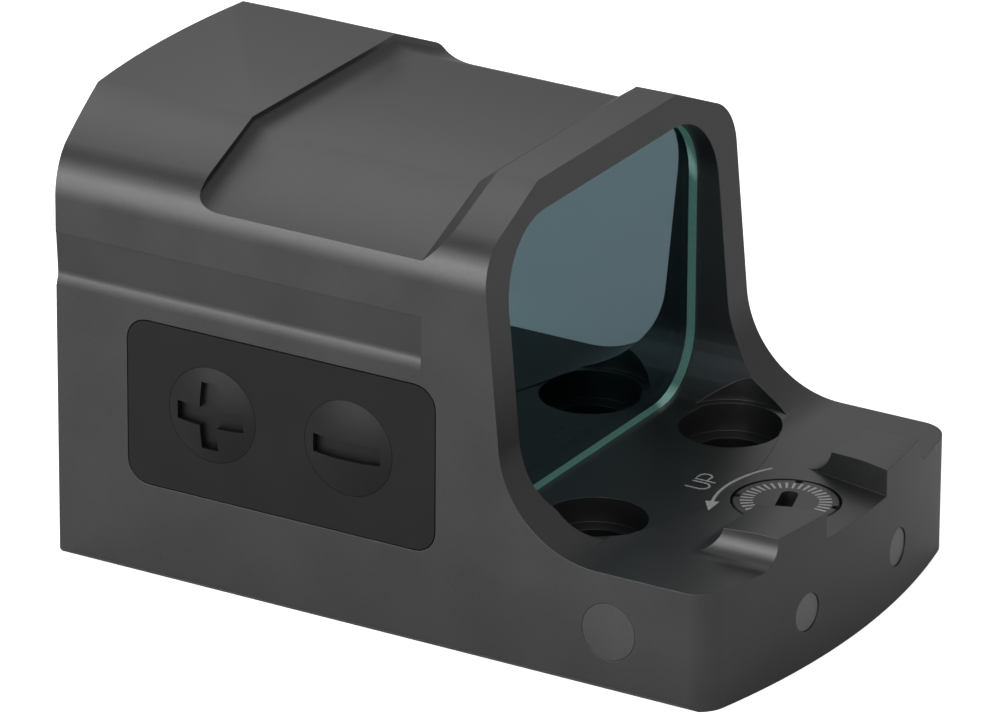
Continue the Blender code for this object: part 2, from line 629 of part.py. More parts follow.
def emitter():
    half = BAY_W / 2 - 4 * RUN
    front = BAY_Y1 - 5 * RUN
    guide_floor = CARRIAGE_Z1 - GUIDE_DEPTH
    guide_end = WIND_Y - GUIDE_END
    guide_half = BLOCK_W / 2 + SHIFT + 0.25
    carriage = block("emitter_carriage", (-half, half), (BAY_Y0 + 0.15, front), (CARRIAGE_Z0, CARRIAGE_Z1),
                     BRASS)
    boolean(carriage, cylinder("cut_nut", NUT_R + 0.07, "z", (0.0, DIAL_Y), CARRIAGE_Z0 - OVER,
                               CARRIAGE_Z1 + OVER))
    boolean(carriage, block("cut_guide", (-guide_half, guide_half), (guide_end, front + OVER),
                            (guide_floor, CARRIAGE_Z1 + OVER)))
    rod_room = WIND_SCREW_R + LIFT + 0.04
    rod_way = arc(WIND_Y, WIND_Z, rod_room, 180, 360, 12) + [(WIND_Y + rod_room, CARRIAGE_Z1 + OVER),
                                                             (WIND_Y - rod_room, CARRIAGE_Z1 + OVER)]
    boolean(carriage, plate("cut_rod_way", [rod_way], "x", -half - OVER, half + OVER))
    floor = guide_floor + 0.08
    half_block = BLOCK_W / 2
    slide = block("emitter_block", (-half_block, half_block), (guide_end + RUN, POST_Y1),
                  (floor, floor + BLOCK_H), POLYMER)
    boolean(slide, block("add_post", (-POST_W / 2, POST_W / 2), (POST_Y0, POST_Y1),
                         (floor + 0.3, FLOOR_Z + POST_RISE)),
            'UNION')
    boolean(slide, cylinder("cut_block_nut", WIND_SCREW_R + LIFT + RUN, "x", (WIND_Y, WIND_Z), -0.7,
                            half_block + OVER))
    lamp_z = FLOOR_Z + POST_RISE - 0.15
    block("led_emitter", (-LED_W / 2, LED_W / 2), (POST_Y1 + GAP, POST_Y1 + GAP + LED_T),
          (lamp_z - LED_H, lamp_z), LED)
    spring("elevation_spring", "z", (0.0, (WIND_Y + BAY_Y1) / 2), BOARD_Z + BOARD_T + 0.03,
           CARRIAGE_Z0 - 0.03, 0.75,
           0.06, 2, STEEL)


def works_bay(body):
    half = BAY_W / 2
    boolean(body, plate("cut_bay", [rounded(-half, half, BAY_Y0, BAY_Y1, BAY_R)], "z", -OVER, BAY_TOP))
    well_half = POST_W / 2 + SHIFT + 0.7
    boolean(body, block("cut_well", (-well_half, well_half), (WELL_Y0, BAY_Y1 - 0.05),
                        (BAY_TOP - OVER, FLOOR_Z + OVER)))


# ---------------------------------------------------------------- windage works
def windage(body):
    axis = (WIND_Y, WIND_Z)
    head = HALF_W - RUN
    under = head - WIND_T
    neck, bore = WIND_NECK_R, WIND_BORE_R
    boolean(body, turned("cut_windage", [(bore, BAY_W / 2 - OVER), (bore, under - RUN),
                                         (WIND_R + 0.16, under - RUN),
                                         (WIND_R + 0.16, HALF_W + OVER)], "x", axis))
    clip = BAY_W / 2 - RUN - CLIP_T
    tip = 0.30
    profile = [(WIND_SCREW_R - 0.13, tip), (WIND_SCREW_R, tip + 0.13), (WIND_SCREW_R, clip - 0.05),
               (neck, clip - 0.05),
               (neck, clip + CLIP_T + 0.05), (WIND_SCREW_R, clip + CLIP_T + 0.05),
               (WIND_SCREW_R, clip + 0.6),
               (bore - RUN, clip + 0.6), (bore - RUN, under), (WIND_R, under), (WIND_R, head - 0.08),
               (WIND_R - 0.08, head)]
    dial = turned("windage_dial", profile, "x", axis, BLACK_STEEL, steps=48)
    drive = slot(WIND_Y, WIND_Z, WIND_SLOT_L, WIND_SLOT_W, DIAL_SLOT_TURN)
    boolean(dial, plate("cut_windage_slot", [drive], "x", head - WIND_SLOT_DEPTH, head + OVER))
    turned("windage_clip", [(neck + GAP, clip), (WIND_CLIP_R, clip), (WIND_CLIP_R, clip + CLIP_T),
                             (neck + GAP, clip + CLIP_T)],
           "x", axis, STEEL, steps=24, ring=True)
    seat, hole = -HALF_W + PLUG_T + GAP, PLUG_R + PLUG_FIT
    boolean(body, turned("cut_side_plug", [(hole, -HALF_W - OVER), (hole, seat), (bore, seat),
                                           (bore, OVER - BAY_W / 2)], "x", axis))
    spring("windage_spring", "x", axis, seat + 0.03, -BLOCK_W / 2 - GAP, 0.52, 0.10, 7, STEEL)
    turned("side_plug", [(PLUG_R, -HALF_W), (PLUG_R, -HALF_W + PLUG_T)], "x", axis, ALUMINIUM)


def rear_plugs(body):
    """Blind plugs set square to the bowed rear face."""
    for tag, side in SIDES.items():
        x = side * REAR_PLUG_X
        hole = turned("cut_rear_plug_" + tag, [(REAR_PLUG_R + PLUG_FIT, -OVER),
                                               (REAR_PLUG_R + PLUG_FIT,
                                                REAR_PLUG_SINK + REAR_PLUG_T + GAP)],
                      "y", (x, REAR_PLUG_Z), steps=32)
        plug = turned("rear_plug_" + tag, [(REAR_PLUG_R, REAR_PLUG_SINK),
                                           (REAR_PLUG_R, REAR_PLUG_SINK + REAR_PLUG_T)],
                      "y", (x, REAR_PLUG_Z), STEEL, steps=32)
        for obj in (hole, plug):
            obj.location.y = rear_at(x) * MM
            obj.rotation_euler.z = atan(2 * REAR_BOW * x / HALF_W ** 2)
        boolean(body, hole)


# ---------------------------------------------------------------- battery tray
def battery_tray(body):
    door_seat = HALF_W - DOOR_T
    boolean(body, plate("cut_slot", [slot_outline()], "x", -SLOT_END, HALF_W + OVER))
    boolean(body, plate("cut_seal_seat", [slot_outline(SEAL_W + GAP)], "x", door_seat - SEAL_T - 2 * GAP,
                        HALF_W + OVER))
    boolean(body, plate("cut_door", [door_outline()], "x", door_seat, HALF_W + OVER))
    plate("tray_seal", [slot_outline(SEAL_W), slot_outline(-0.02)], "x", door_seat - SEAL_T - GAP,
          door_seat - GAP, RUBBER)

    tray = plate("battery_tray", [door_outline(-0.08)], "x", door_seat + GAP, HALF_W + DOOR_PROUD,
                 ALUMINIUM)
    end_wall = CELL_Z + CELL_T + 0.25
    neck = rounded(SLOT_Y0 + RUN, SLOT_Y1 - RUN, SLOT_FLOOR + RUN, end_wall, 0.4, 4)
    boolean(tray, plate("add_neck", [neck], "x", -SLOT_END + 0.75, door_seat + 0.3), 'UNION')
    boolean(tray, cylinder("cut_cell_seat", CELL_R + 0.08, "z", (CELL_X, CELL_Y), CELL_Z - 0.04,
                           end_wall + OVER, sides=64))
    window = CELL_WINDOW
    boolean(tray, block("cut_tray_window", (CELL_X - CELL_R + 2 * OVER, CELL_X + CELL_R - 2 * OVER),
                        (CELL_Y - window, CELL_Y + window), (SLOT_FLOOR - OVER, CELL_Z + 0.3)))
    boolean(tray, plate("cut_grip", [rounded(CELL_Y - GRIP_L / 2, CELL_Y + GRIP_L / 2, SLOT_FLOOR + 1.0,
                                             SLOT_FLOOR + 1.0 + GRIP_H, GRIP_H / 2 - 0.02)], "x",
                        HALF_W + DOOR_PROUD - GRIP_DEPTH, HALF_W + OVER))
    rim, top = 0.25, CELL_Z + CELL_T
    turned("battery", [(CELL_R - 1.1, CELL_Z), (CELL_R - 0.9, CELL_Z + rim), (CELL_R - rim, CELL_Z + 0.32),
                       (CELL_R, CELL_Z + 0.55), (CELL_R, top - 0.15), (CELL_R - 0.15, top)], "z",
           (CELL_X, CELL_Y), STEEL,
           steps=48)
    block("contact_positive", (-SLOT_END + RUN, -SLOT_END + RUN + CONTACT_T),
          (CELL_Y - CONTACT_W / 2, CELL_Y + CONTACT_W / 2), (CELL_Z, top), BRASS)
    block("contact_negative", (CELL_X - CONTACT_L / 2, CELL_X + CONTACT_L / 2),
          (CELL_Y - CONTACT_W / 4, CELL_Y + CONTACT_W / 4), (SLOT_TOP - RUN - CONTACT_LEAF, SLOT_TOP - RUN),
          BRASS)
    for tag, y in (("rear", CELL_Y - SCREW_SET), ("front", CELL_Y + SCREW_SET)):
        tray_screw(body, tray, tag, (y, (SLOT_FLOOR + SLOT_TOP) / 2))


def tray_screw(body, tray, tag, axis):
    """Slotted screw through the tray's outer plate into the housing."""
    top = HALF_W + RUN
    shoulder = top - 0.54
    boolean(body, cylinder("cut_tray_tap_" + tag, SCREW_SHANK + GAP, "x", axis, top - SCREW_L - 0.4, HALF_W,
                           sides=20))
    boolean(tray, turned("cut_tray_bore_" + tag, [(SCREW_SHANK + 0.07, HALF_W - DOOR_T - OVER),
                                                  (SCREW_SHANK + 0.07, shoulder - GAP),
                                                  (SCREW_HEAD + 0.08, shoulder - GAP),
                                                  (SCREW_HEAD + 0.08, HALF_W + OVER)], "x", axis, steps=24))
    screw = turned("tray_screw_" + tag, [(SCREW_SHANK - 0.11, top - SCREW_L),
                                         (SCREW_SHANK, top - SCREW_L + 0.15),
                                         (SCREW_SHANK, shoulder), (SCREW_HEAD, shoulder),
                                         (SCREW_HEAD, top - 0.08),
                                         (SCREW_HEAD - 0.08, top)], "x", axis, BLACK_STEEL, steps=24)
    y, z = axis
    boolean(screw, block("cut_tray_screw_slot_" + tag, (top - 0.32, top + OVER), (y - 0.12, y + 0.12),
                         (z - OVER, z + OVER)))


# ---------------------------------------------------------------- underside
def underside(body):
    half = BAY_W / 2 + COVER_MARGIN
    y0, y1 = BAY_Y0 - COVER_END, BAY_Y1 + COVER_END
    boolean(body, plate("cut_cover", [rounded(-half, half, y0, y1, 1.2)], "z", -OVER, COVER_T))
    clear = 0.07
    cover = plate("bottom_cover", [rounded(-half + clear, half - clear, y0 + clear, y1 - clear,
                                           1.2 - clear)], "z",
                  0.04, COVER_T - 0.05, ALUMINIUM)
    board_half = BAY_W / 2 - 4 * RUN
    block("main_board", (-board_half, board_half), (BAY_Y0 + 2 * RUN, HOOD_Y), (BOARD_Z, BOARD_Z + BOARD_T),
          BOARD)
    for tag, y in (("front", BAY_Y1 + COVER_END / 2), ("rear", BAY_Y0 - COVER_END / 2)):
        cover_screw(body, cover, tag, y)


def cover_screw(body, cover, tag, y):
    axis, tip, head_z = (0.0, y), 2.40, 0.38
    boolean(body, cylinder("cut_cover_tap_" + tag, COVER_SHANK + 0.05, "z", axis, COVER_T - 0.3, tip + 0.1,
                           sides=18))
    boolean(cover, turned("cut_cover_bore_" + tag, [(COVER_HEAD + 0.08, -OVER),
                                                    (COVER_HEAD + 0.08, head_z + 0.04),
                                                    (COVER_SHANK + 0.08, head_z + 0.04),
                                                    (COVER_SHANK + 0.08, COVER_T)],
                          "z", axis, steps=24))
    screw = turned("cover_screw_" + tag, [(COVER_HEAD - 0.08, 0.08), (COVER_HEAD, 0.16),
                                          (COVER_HEAD, head_z - 0.02),
                                          (COVER_SHANK, head_z - 0.02), (COVER_SHANK, tip - 0.15),
                                          (0.22, tip)], "z", axis,
                   BLACK_STEEL, steps=24)
    boolean(screw, block("cut_cover_screw_slot_" + tag, (-0.10, 0.10), (y - OVER, y + OVER), (-OVER, 0.24)))


# ---------------------------------------------------------------- assembly
housing = housing_forms()
mounting_holes(housing)
optics()
keypad(housing)
works_bay(housing)
elevation(housing)
emitter()
windage(housing)
rear_plugs(housing)
battery_tray(housing)
underside(housing)

CARRIED = {"elevation_clip": "elevation_dial", "windage_clip": "windage_dial",
           "led_emitter": "emitter_block",
           "emitter_block": "emitter_carriage", "battery": "battery_tray",
           "tray_screw_rear": "battery_tray",
           "tray_screw_front": "battery_tray"}
bpy.context.view_layer.update()
for piece in parts.objects:
    if piece != housing:
        piece.parent = parts.objects[CARRIED.get(piece.name, "housing")]
        piece.matrix_parent_inverse = piece.parent.matrix_world.inverted()
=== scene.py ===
"""Looks of the enclosed micro reflex sight: finishes, marks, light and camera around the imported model.

Everything is in metres in the CAD frame: +Y is the objective end, +X the shooter's right, +Z up.
Edge roundings and the outlines of the marks are typed in millimetres, and noise scales are per metre.
"""
import bpy
import bmesh
from math import sin, cos, radians
from mathutils import Matrix, Vector


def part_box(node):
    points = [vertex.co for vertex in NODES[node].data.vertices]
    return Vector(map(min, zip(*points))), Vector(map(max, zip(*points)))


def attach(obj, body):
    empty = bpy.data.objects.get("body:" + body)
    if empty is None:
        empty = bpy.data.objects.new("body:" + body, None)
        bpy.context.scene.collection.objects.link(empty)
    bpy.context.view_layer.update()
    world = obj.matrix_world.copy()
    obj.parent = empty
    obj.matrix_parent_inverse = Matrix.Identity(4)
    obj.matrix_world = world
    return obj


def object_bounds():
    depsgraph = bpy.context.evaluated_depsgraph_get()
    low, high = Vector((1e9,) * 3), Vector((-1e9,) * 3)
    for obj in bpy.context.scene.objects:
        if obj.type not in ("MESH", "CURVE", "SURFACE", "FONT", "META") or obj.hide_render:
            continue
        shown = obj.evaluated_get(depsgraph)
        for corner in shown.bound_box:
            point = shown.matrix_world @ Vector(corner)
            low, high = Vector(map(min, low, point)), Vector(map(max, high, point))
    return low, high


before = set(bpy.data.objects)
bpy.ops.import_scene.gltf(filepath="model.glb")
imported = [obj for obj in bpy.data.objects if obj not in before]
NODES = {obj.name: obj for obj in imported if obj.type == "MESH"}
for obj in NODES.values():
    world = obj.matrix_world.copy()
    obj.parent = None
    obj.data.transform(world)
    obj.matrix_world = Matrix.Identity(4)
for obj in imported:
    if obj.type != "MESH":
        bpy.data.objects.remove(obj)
cad_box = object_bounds()
MM = 0.001
MICRON = 0.000001
scene = bpy.context.scene


# ---------------------------------------------------------------- shader tools
class Graph:
    """Thin wrapper for building a material's node tree."""

    def __init__(self, name):
        self.material = bpy.data.materials.new(name)
        self.material.use_nodes = True
        self.tree = self.material.node_tree
        self.tree.nodes.clear()
        self.output = self.tree.nodes.new("ShaderNodeOutputMaterial")

    def node(self, kind, settings=None, **sockets):
        """New node. Inputs are given by name, with _ for a space, as a value or as another node's output."""
        n = self.tree.nodes.new("ShaderNode" + kind)
        for key, value in (settings or {}).items():
            setattr(n, key, value)
        for key, value in sockets.items():
            self.feed(n, key.replace("_", " "), value)
        return n

    def feed(self, n, key, value):
        """Links or sets one input, found by its name or by its number."""
        socket = n.inputs[int(key)] if key.isdigit() else n.inputs[key]
        if isinstance(value, bpy.types.NodeSocket):
            self.tree.links.new(value, socket)
        elif isinstance(value, tuple) and len(value) == 3 and socket.type == "RGBA":
            socket.default_value = (*value, 1.0)
        else:
            socket.default_value = value

    def geometry(self, output):
        return self.node("NewGeometry").outputs[output]

    def math(self, operation, first, second=None):
        n = self.node("Math", {"operation": operation})
        self.feed(n, "0", first)
        if second is not None:
            self.feed(n, "1", second)
        return n.outputs[0]

    def noise(self, scale, detail=2.0, roughness=0.5, vector=None):
        n = self.node("TexNoise", Vector=vector or self.geometry("Position"), Scale=scale, Detail=detail,
                      Roughness=roughness)
        return n.outputs["Fac"]

    def spread(self, value, low, high, start=0.3, end=0.7):
        """Maps start..end to low..high. Noise has nearly all its values in the default range."""
        n = self.node("MapRange", Value=value, From_Min=start, From_Max=end, To_Min=low, To_Max=high)
        return n.outputs["Result"]

    def mix(self, factor, first, second):
        """Mix of two colours."""
        n = self.node("Mix", {"data_type": "RGBA", "blend_type": "MIX"})
        self.feed(n, "0", factor)
        self.feed(n, "6", first)
        self.feed(n, "7", second)
        return n.outputs[2]

    def bump(self, height, distance, normal=None):
        n = self.node("Bump", Height=height, Distance=distance, Strength=1.0)
        if normal:
            self.feed(n, "Normal", normal)
        return n.outputs["Normal"]

    def blend(self, factor, first, second):
        """Mix of two shaders."""
        n = self.node("MixShader")
        self.feed(n, "0", factor)
        self.tree.links.new(first.outputs[0], n.inputs[1])
        self.tree.links.new(second.outputs[0], n.inputs[2])
        return n

    def finish(self, shader):
        self.tree.links.new(shader.outputs[0], self.output.inputs["Surface"])
        return self.material


def shade(base, factor):
    """The same colour, darker or paler."""
    return tuple(min(1.0, channel * factor) for channel in base)


# ---------------------------------------------------------------- finishes
EDGE_RADIUS = 0.05 * MM         # reach of the paler line and of the rounded shading along a machined edge
EDGE_COSINES = (0.80, 0.995)    # between rounded and true normal: the whole mask, and none of it
EDGE_SHARE = 0.55               # how much of the paler tone an edge takes on


def edge_mask(g):
    """Mask that is 1 along outside and inside edges and 0 on faces, and the normal with rounded edges."""
    bevel = g.node("Bevel", {"samples": 6}, Radius=EDGE_RADIUS)
    dot = g.node("VectorMath", {"operation": "DOT_PRODUCT"})
    g.feed(dot, "0", bevel.outputs["Normal"])
    g.feed(dot, "1", g.geometry("Normal"))
    return g.spread(dot.outputs["Value"], 1.0, 0.0, *EDGE_COSINES), bevel.outputs["Normal"]


def anodised(name, base, roughness=0.40, edge_wear_and_highlight=1.5):
    """Bead-blasted anodising: fine grain, slow cloudiness in the dye, edges paler by a factor: partly wear,
    partly a painted highlight.
    """
    g = Graph(name)
    cloud = g.noise(260.0, 3.0)
    speck = g.noise(11000.0)
    edge, rounded = edge_mask(g)
    tone = g.mix(g.spread(cloud, 0.0, 1.0), shade(base, 0.93), shade(base, 1.07))
    tone = g.mix(g.spread(speck, 0.0, 0.35), tone, shade(base, 1.35))
    # paler edges, outside and inside: partly wear, partly a painted highlight
    tone = g.mix(g.math("MULTIPLY", edge, EDGE_SHARE), tone, shade(base, edge_wear_and_highlight))
    return g.finish(g.node("BsdfPrincipled", Base_Color=tone, Metallic=0.9,
                           Roughness=g.spread(cloud, roughness - 0.025, roughness + 0.025),
                           Normal=g.bump(speck, 1.6 * MICRON, rounded)))


def rubber(name, base):
    """Moulded rubber: soft sheen, fine spark-eroded grain."""
    g = Graph(name)
    grain = g.noise(7000.0, 3.0, 0.6)
    tone = g.mix(g.spread(g.noise(400.0), 0.0, 1.0), shade(base, 0.85), shade(base, 1.15))
    shader = g.node("BsdfPrincipled", Base_Color=tone, Roughness=g.spread(grain, 0.42, 0.50),
                    Normal=g.bump(grain, 3.0 * MICRON))
    shader.inputs["Specular IOR Level"].default_value = 0.26
    return g.finish(shader)


def metal(name, base, roughness, stretch=(1.0, 1.0, 1.0), metallic=1.0):
    """Machined or ground metal. Its marks are drawn out across the axis where stretch is large."""
    g = Graph(name)
    scaled = g.node("VectorMath", {"operation": "MULTIPLY"}, **{"0": g.geometry("Position"), "1": stretch})
    marks = g.noise(6000.0, 3.0, 0.6, scaled.outputs[0])
    tone = g.mix(g.spread(marks, 0.0, 1.0), shade(base, 0.85), shade(base, 1.15))
    tone = g.mix(g.spread(g.noise(500.0), 0.0, 0.25), tone, shade(base, 0.7))
    return g.finish(g.node("BsdfPrincipled", Base_Color=tone, Metallic=metallic,
                           Roughness=g.spread(marks, roughness - 0.06, roughness + 0.06),
                           Normal=g.bump(marks, 2.0 * MICRON)))


GLASS_INDEX = 1.50
COATING_SHARE = 0.36            # share of the coating in what the outside of a pane shows
SIDE_LIMIT = 0.35               # faces whose normal has less than this along Y are the ground sides
SIDE_GLOW = 0.9                 # stands for the light that runs through the pane to its sides


def coated_glass(name):
    """Coated pane or lens: a blue-green reflection from its outside, and ground sides with a painted glow and
    patches of painted glints.
    """
    g = Graph(name)
    smear = g.spread(g.noise(350.0, 3.0), 0.0, 1.0)
    tint = g.mix(smear, (0.330, 0.622, 0.640), (0.340, 0.634, 0.646))
    clear = g.node("BsdfPrincipled", Base_Color=tint, Roughness=0.0)
    clear.inputs["IOR"].default_value = GLASS_INDEX
    clear.inputs["Transmission Weight"].default_value = 1.0
    film = g.mix(smear, (0.205, 0.430, 0.505), (0.220, 0.445, 0.520))
    coating = g.node("BsdfPrincipled", Base_Color=film, Metallic=1.0, Roughness=0.0)
    outside = g.blend(COATING_SHARE, clear, coating)
    inside = g.node("BsdfRefraction", Color=tint, Roughness=0.0, IOR=GLASS_INDEX)
    pane = g.blend(g.geometry("Backfacing"), outside, inside)

    grind = g.noise(5000.0, 3.0, 0.6)
    frosted = g.mix(g.spread(grind, 0.0, 1.0), (0.09, 0.19, 0.17), (0.14, 0.28, 0.25))
    # painted light: the ground sides glow, and brighter patches of that glow are painted glints
    painted_glints = g.spread(g.noise(230.0, 1.0), 0.0, 1.0, 0.58, 0.66)
    ground = g.node("BsdfPrincipled", Base_Color=frosted, Roughness=0.22, Normal=g.bump(grind, 2.0 * MICRON),
                    Emission_Color=g.mix(painted_glints, (0.11, 0.19, 0.16), (0.42, 0.56, 0.50)))
    ground.inputs["Emission Strength"].default_value = SIDE_GLOW

    normal = g.node("SeparateXYZ", Vector=g.geometry("Normal"))
    side = g.math("LESS_THAN", g.math("ABSOLUTE", normal.outputs["Y"]), SIDE_LIMIT)
    return g.finish(g.blend(side, pane, ground))


def circuit_board(name):
    """Solder mask over thin copper tracks."""
    g = Graph(name)
    tracks = g.node("TexBrick", Vector=g.geometry("Position"), Scale=900.0)
    tracks.inputs["Mortar Size"].default_value = 0.06
    cloud = g.noise(900.0)
    mask = g.mix(g.spread(cloud, 0.0, 1.0), (0.012, 0.090, 0.035), (0.024, 0.140, 0.060))
    tone = g.mix(tracks.outputs["Fac"], mask, (0.05, 0.22, 0.09))
    return g.finish(g.node("BsdfPrincipled", Base_Color=tone, Roughness=g.spread(cloud, 0.30, 0.42),
                           Normal=g.bump(tracks.outputs["Fac"], 10.0 * MICRON)))


def moulded(name, base, roughness):
    """Moulded plastic with a light grain."""
    g = Graph(name)
    grain = g.noise(6000.0)
    tone = g.mix(g.spread(grain, 0.0, 1.0), shade(base, 0.9), shade(base, 1.1))
    return g.finish(g.node("BsdfPrincipled", Base_Color=tone,
                           Roughness=g.spread(grain, roughness - 0.05, roughness + 0.05),
                           Normal=g.bump(grain, 3.0 * MICRON)))


def paint(name, base):
    """Printed or filled mark, a little patchy."""
    g = Graph(name)
    patch = g.noise(9000.0, 3.0, 0.6)
    tone = g.mix(g.spread(patch, 0.0, 1.0), shade(base, 0.72), base)
    return g.finish(g.node("BsdfPrincipled", Base_Color=tone, Roughness=g.spread(patch, 0.45, 0.6),
                           Normal=g.bump(patch, 3.0 * MICRON)))


HOUSING = anodised("anodised_housing", (0.070, 0.070, 0.071))
PLUG = anodised("anodised_plug", (0.088, 0.088, 0.089), roughness=0.42, edge_wear_and_highlight=1.0)
GLASS = coated_glass("coated_glass")
RUBBER = rubber("black_rubber", (0.005, 0.005, 0.005))
STEEL = metal("bright_steel", (0.42, 0.42, 0.43), 0.34, (1.0, 1.0, 6.0))
PLUG_STEEL = metal("sealed_plug", (0.17, 0.17, 0.172), 0.45, metallic=0.6)
BLACK_STEEL = metal("blackened_steel", (0.068, 0.068, 0.070), 0.40, metallic=0.8)
BRASS = metal("brass", (0.60, 0.42, 0.18), 0.30, (1.0, 6.0, 1.0))
BOARD = circuit_board("solder_mask")
POLYMER = moulded("black_polymer", (0.030, 0.030, 0.032), 0.50)
LED = moulded("red_led_package", (0.16, 0.012, 0.010), 0.25)
MARK = paint("white_mark", (0.42, 0.42, 0.42))

# node: (finish, edge rounding in mm, segments of the rounding); with 0 segments the edges stay sharp
LOOKS = {
    "housing": (HOUSING, 0.0, 0), "bottom_cover": (HOUSING, 0.05, 2), "battery_tray": (HOUSING, 0.08, 2),
    "front_ring": (HOUSING, 0.05, 2), "side_plug": (PLUG, 0.0, 0),
    "rear_window": (GLASS, 0.0, 0), "front_lens": (GLASS, 0.0, 0),
    "rear_window_stop": (RUBBER, 0.04, 2), "keypad_pad": (RUBBER, 0.0, 0), "plus_button": (RUBBER, 0.0, 0),
    "minus_button": (RUBBER, 0.0, 0), "tray_seal": (RUBBER, 0.05, 2),
    "keypad_board": (BOARD, 0.02, 1), "main_board": (BOARD, 0.03, 1),
    "plus_switch": (STEEL, 0.0, 0), "minus_switch": (STEEL, 0.0, 0),
    "elevation_clip": (STEEL, 0.02, 1), "windage_clip": (STEEL, 0.02, 1),
    "elevation_spring": (STEEL, 0.0, 0), "windage_spring": (STEEL, 0.0, 0),
    "rear_plug_right": (PLUG_STEEL, 0.0, 0), "rear_plug_left": (PLUG_STEEL, 0.0, 0),
    "battery": (STEEL, 0.05, 2),
    "elevation_dial": (BLACK_STEEL, 0.0, 0), "windage_dial": (BLACK_STEEL, 0.0, 0),
    "tray_screw_front": (BLACK_STEEL, 0.02, 2), "tray_screw_rear": (BLACK_STEEL, 0.02, 2),
    "cover_screw_front": (BLACK_STEEL, 0.02, 2), "cover_screw_rear": (BLACK_STEEL, 0.02, 2),
    "emitter_carriage": (BRASS, 0.0, 0),
    "contact_positive": (BRASS, 0.03, 2), "contact_negative": (BRASS, 0.03, 2),
    "emitter_block": (POLYMER, 0.0, 0), "led_emitter": (LED, 0.0, 0),
}
WELD_REACH = 0.002 * MM         # corners of facets closer together than this become one
FLAT_ANGLE = radians(0.6)       # facets that meet at less than this become one face
EDGE_ANGLE = radians(34)        # facets that meet at more than this make an edge; the rest is shaded smooth


def dress(obj, finish, rounding, segments):
    """Finish, smooth shading and rounded edges for one CAD node; its own vertices stay as they are."""
    obj.data.materials.clear()
    obj.data.materials.append(finish)
    for polygon in obj.data.polygons:
        polygon.material_index = 0
        polygon.use_smooth = True
    if "custom_normal" in obj.data.attributes:
        obj.data.attributes.remove(obj.data.attributes["custom_normal"])
    weld = obj.modifiers.new("weld", 'WELD')
    weld.merge_threshold = WELD_REACH
    merge = obj.modifiers.new("merge_coplanar", 'DECIMATE')
    merge.decimate_type = 'DISSOLVE'
    merge.angle_limit = FLAT_ANGLE
    if segments:
        bevel = obj.modifiers.new("round_edges", 'BEVEL')
        bevel.width = rounding * MM
        bevel.segments = segments
        bevel.limit_method = 'ANGLE'
        bevel.angle_limit = EDGE_ANGLE
        bevel.use_clamp_overlap = False
        bevel.miter_outer = 'MITER_SHARP'
    else:
        split = obj.modifiers.new("sharp_edges", 'EDGE_SPLIT')
        split.split_angle = EDGE_ANGLE
    normals = obj.modifiers.new("even_shading", 'WEIGHTED_NORMAL')
    normals.mode = 'FACE_AREA'
    normals.weight = 50
    normals.keep_sharp = True


for node, look in LOOKS.items():
    dress(NODES[node], *look)


# ---------------------------------------------------------------- printed and filled marks
def mark_piece(name, outlines, matrix, body, thickness=0.010):
    """Thin filled shapes in one piece, half sunk in the plane that the matrix gives; sizes in millimetres."""
    bm = bmesh.new()
    for outline in outlines:
        low = [bm.verts.new((a * MM, b * MM, -0.5 * thickness * MM)) for a, b in outline]
        high = [bm.verts.new((a * MM, b * MM, 0.5 * thickness * MM)) for a, b in outline]
        bm.faces.new(list(reversed(low)))
        bm.faces.new(high)
        for k in range(len(low)):
            bm.faces.new((low[k - 1], low[k], high[k], high[k - 1]))
    bmesh.ops.recalc_face_normals(bm, faces=bm.faces)
    bm.transform(matrix)
    mesh = bpy.data.meshes.new(name)
    bm.to_mesh(mesh)
    bm.free()
    mesh.materials.append(MARK)
    obj = bpy.data.objects.new(name, mesh)
    scene.collection.objects.link(obj)
    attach(obj, body)


def strip(points, width):
    """Outline of a line of even width along the points."""
    left, right = [], []
    for k, (x, y) in enumerate(points):
        x0, y0 = points[max(k - 1, 0)]
        x1, y1 = points[min(k + 1, len(points) - 1)]
        run = Vector((x1 - x0, y1 - y0)).normalized() * (width / 2)
        left.append((x - run.y, y + run.x))
        right.append((x + run.y, y - run.x))
    return left + right[::-1]


def ring_points(centre, r, start, end, count):
    """Points along an arc, from the start angle to the end angle in count steps."""
    return [(centre[0] + r * cos(radians(start + (end - start) * k / count)),
             centre[1] + r * sin(radians(start + (end - start) * k / count))) for k in range(count + 1)]


def ticks(count, phase, inner, outer, thin, thick):
    """Ring of ticks between two radii, thin at the inner end and thick at the outer one."""
    shapes = []
    for k in range(count):
        angle = radians(phase + 360 * k / count)
        along = Vector((cos(angle), sin(angle)))
        across = Vector((-along.y, along.x))
        shapes.append([tuple(along * inner - across * thin / 2), tuple(along * outer - across * thick / 2),
                       tuple(along * outer + across * thick / 2), tuple(along * inner + across * thin / 2)])
    return shapes


def arrow(centre, r, start, end, width, head_length, head_width):
    """Arc from the start angle up to the end angle, with an arrow head at its end."""
    ahead = Vector((-sin(radians(end)), cos(radians(end))))
    side = Vector((-ahead.y, ahead.x))
    base = Vector(ring_points(centre, r, end, end, 1)[0])
    head = [tuple(base + side * head_width / 2), tuple(base + ahead * head_length),
            tuple(base - side * head_width / 2)]
    return [strip(ring_points(centre, r, start, end, 28), width), head]


# the marks on the deck, measured in mm from the axis of the elevation dial
ARROW = arrow((0.07, -2.52), 6.0, 58.4, 110.0, width=0.15, head_length=1.20, head_width=0.72)
STROKE = 0.11
U_SHAPE = [(-0.88, 5.32)] + ring_points((-0.50, 4.55), 0.38, 180, 360, 14) + [(-0.12, 5.32)]
P_SHAPE = ([(0.16, 4.15), (0.16, 5.31), (0.60, 5.31)] + ring_points((0.60, 4.98), 0.33, 80, -90, 12)
           + [(0.20, 4.65)])
ARROW_THICKNESS = 0.050
DIAL_PROUD = 0.02 * MM          # the top of the elevation dial stands this much over the deck
ARROW_LIFT = 0.020 * MM         # middle of the arrow over the deck
LETTER_LIFT = 0.004 * MM        # middle of the letters over the deck

